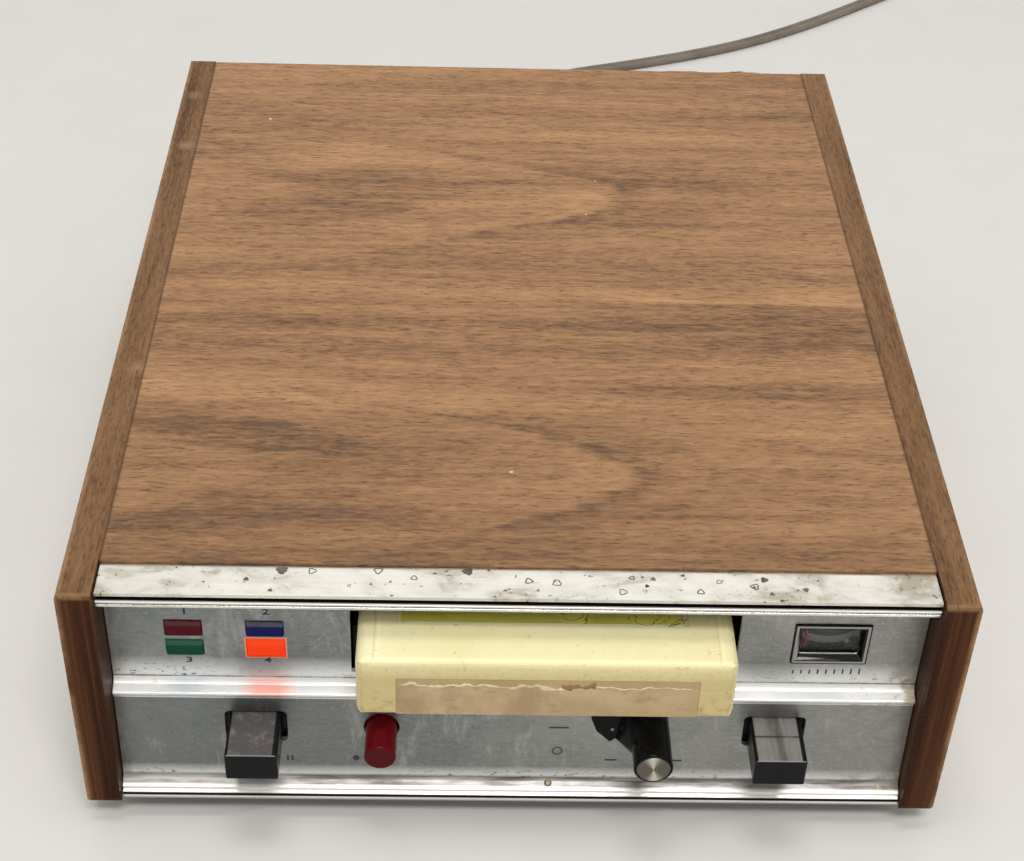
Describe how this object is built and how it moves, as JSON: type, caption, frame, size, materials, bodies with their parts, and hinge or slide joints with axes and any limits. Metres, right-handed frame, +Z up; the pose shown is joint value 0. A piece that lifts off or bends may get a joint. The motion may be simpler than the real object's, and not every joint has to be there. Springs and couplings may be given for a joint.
{
  "type": "8 track player",
  "caption": "Tabletop 8 track tape recorder in a walnut case, brushed metal front with slot, cartridge, lit windows, meter, knob and push buttons, and a mains cord.",
  "frame": {"origin": "on the floor under the middle of the machine's outline, cord left out", "axes": "+X to the right as seen from the front, +Y to the back, +Z up"},
  "size_m": [0.3673, 0.66, 0.0895],
  "materials": {
    "walnut_veneer": "oiled walnut veneer, satin",
    "softwood": "planed softwood, unfinished",
    "brushed_aluminium": "brushed and clear anodised",
    "spun_aluminium": "spun, bright",
    "red_lens": "translucent dark red",
    "green_lens": "translucent dark green",
    "blue_lens": "translucent dark blue",
    "orange_lens": "translucent orange, lit from behind",
    "black_moulding": "moulded black, glossy",
    "black_matt_moulding": "moulded black, matt",
    "red_moulding": "moulded dark red, glossy",
    "bright_bezel": "bright metallised",
    "scale_card": "printed card",
    "clear_window": "clear",
    "red_needle": "painted red",
    "zinc_plated_steel": "zinc plated",
    "spring_wire": "drawn wire",
    "ground_steel": "ground and polished",
    "laminated_insulator": "brown laminate",
    "cartridge_plastic": "moulded cream, satin, aged",
    "top_label_paper": "printed paper, worn",
    "front_label_paper": "faded paper, stained by tape",
    "wound_tape": "wound magnetic tape on a moulded hub",
    "black_rubber": "matt rubber",
    "cast_flywheel": "turned casting",
    "sintered_bronze": "oiled bearing bronze",
    "ivory_moulding": "moulded ivory",
    "wound_coil": "wound coil in a steel yoke",
    "laminated_core": "laminated steel core with a taped winding",
    "component_sleeves": "sleeved components",
    "painted_sheet": "black painted sheet",
    "grey_cord": "soft grey brown flex"
  },
  "bodies": {
    "case": {"left_side_panel": "walnut_veneer", "right_side_panel": "walnut_veneer", "top_panel": "walnut_veneer", "top_trim_strip": "brushed_aluminium", "front_panel": "brushed_aluminium", "program_window_1": "red_lens", "program_window_2": "blue_lens", "program_window_3": "green_lens", "program_window_4": "orange_lens", "lamp_housing": "black_matt_moulding", "program_lamps": "clear_window", "meter_case": "black_matt_moulding", "meter_bezel": "bright_bezel", "meter_scale": "scale_card", "meter_window": "clear_window", "left_button_bracket": "zinc_plated_steel", "right_button_bracket": "zinc_plated_steel", "button_springs": "spring_wire", "function_switch": "laminated_insulator", "deck_plate": "zinc_plated_steel", "capstan_bearing": "sintered_bronze", "thrust_bracket": "zinc_plated_steel", "motor": "zinc_plated_steel", "solenoid": "wound_coil", "splice_sensor": "laminated_insulator", "transformer": "laminated_core", "circuit_board": "laminated_insulator", "board_parts": "component_sleeves", "rear_panel": "painted_sheet", "phono_sockets": "ground_steel", "fuse_holder": "black_matt_moulding", "base_plate": "zinc_plated_steel", "wood_cleats": "softwood", "case_screws": "zinc_plated_steel", "rubber_feet": "black_rubber", "strain_relief": "black_matt_moulding", "mains_cord": "grey_cord", "cord_coil": "grey_cord", "mains_plug": "black_matt_moulding", "drive_belt": "black_rubber"},
    "program_key": {"program_button": "black_moulding"},
    "record_key": {"record_button": "red_moulding"},
    "eject_key": {"eject_button": "black_moulding"},
    "function_dial": {"function_knob": "black_moulding", "function_knob_cap": "spun_aluminium", "function_shaft": "spun_aluminium"},
    "needle_arm": {"meter_needle": "red_needle"},
    "cartridge": {"cartridge_top_shell": "cartridge_plastic", "cartridge_bottom_shell": "cartridge_plastic", "cartridge_top_label": "top_label_paper", "cartridge_front_label": "front_label_paper"},
    "tape_reel": {"cartridge_reel": "wound_tape"},
    "roller": {"pinch_roller": "black_rubber"},
    "capstan_drive": {"capstan": "ground_steel", "flywheel": "cast_flywheel"},
    "motor_drive": {"motor_pulley": "sintered_bronze"},
    "step_wheel": {"head_cam": "ivory_moulding"},
    "head_block": {"head_carriage": "black_matt_moulding", "tape_head": "ground_steel"},
    "pawl": {"solenoid_plunger": "ground_steel"}
  },
  "joints": [
    {"name": "program_press", "type": "slide", "parent": "case", "child": "program_key", "axis": [0, 1, 0], "range_m": [0, 0.004], "stiffness_N_per_m": 150, "springref_m": -0.004},
    {"name": "record_press", "type": "slide", "parent": "case", "child": "record_key", "axis": [0, 1, 0], "range_m": [0, 0.004], "stiffness_N_per_m": 150, "springref_m": -0.004},
    {"name": "eject_press", "type": "slide", "parent": "case", "child": "eject_key", "axis": [0, 1, 0], "range_m": [0, 0.004], "stiffness_N_per_m": 150, "springref_m": -0.004},
    {"name": "function_turn", "type": "hinge", "parent": "case", "child": "function_dial", "pos_m": [0.0372, -0.14, 0.0392], "axis": [0, 1, 0], "range_deg": [-18, 18]},
    {"name": "needle_swing", "type": "hinge", "parent": "case", "child": "needle_arm", "pos_m": [0.0854, -0.1116, 0.065], "axis": [0, 0, 1], "range_deg": [0, 52], "stiffness_Nm_per_rad": 0.00005},
    {"name": "cartridge_slide", "type": "slide", "parent": "case", "child": "cartridge", "axis": [0, -1, 0], "range_m": [0, 0.06]},
    {"name": "capstan_spin", "type": "hinge", "parent": "case", "child": "capstan_drive", "pos_m": [0.03815, -0.00882, 0.038], "axis": [0, 0, 1], "continuous": true},
    {"name": "motor_spin", "type": "hinge", "parent": "case", "child": "motor_drive", "pos_m": [-0.008, 0.06818, 0.038], "axis": [0, 0, 1], "continuous": true},
    {"name": "roller_spin", "type": "hinge", "parent": "cartridge", "child": "roller", "pos_m": [0.03815, -0.019, 0.06245], "axis": [0, 0, 1], "continuous": true},
    {"name": "reel_spin", "type": "hinge", "parent": "cartridge", "child": "tape_reel", "pos_m": [0.0074, -0.0745, 0.0572], "axis": [0, 0, 1], "continuous": true},
    {"name": "step_wheel_turn", "type": "hinge", "parent": "case", "child": "step_wheel", "pos_m": [-0.0166, 0.0203, 0.054], "axis": [0, 0, -1], "range_deg": [0, 135]},
    {"name": "head_lift", "type": "slide", "parent": "case", "child": "head_block", "axis": [0, 0, 1], "range_m": [0, 0.0018]},
    {"name": "pawl_pull", "type": "slide", "parent": "case", "child": "pawl", "axis": [-1, 0, 0], "range_m": [0, 0.003], "stiffness_N_per_m": 100, "springref_m": -0.002}
  ],
  "couplings": [
    {"joint": "motor_spin", "follows": "capstan_spin", "ratio": 5.4615},
    {"joint": "roller_spin", "follows": "capstan_spin", "ratio": -0.3173},
    {"joint": "reel_spin", "follows": "capstan_spin", "ratio": 0.085},
    {"joint": "step_wheel_turn", "follows": "head_lift", "rad_per_m": 1309}
  ]
}
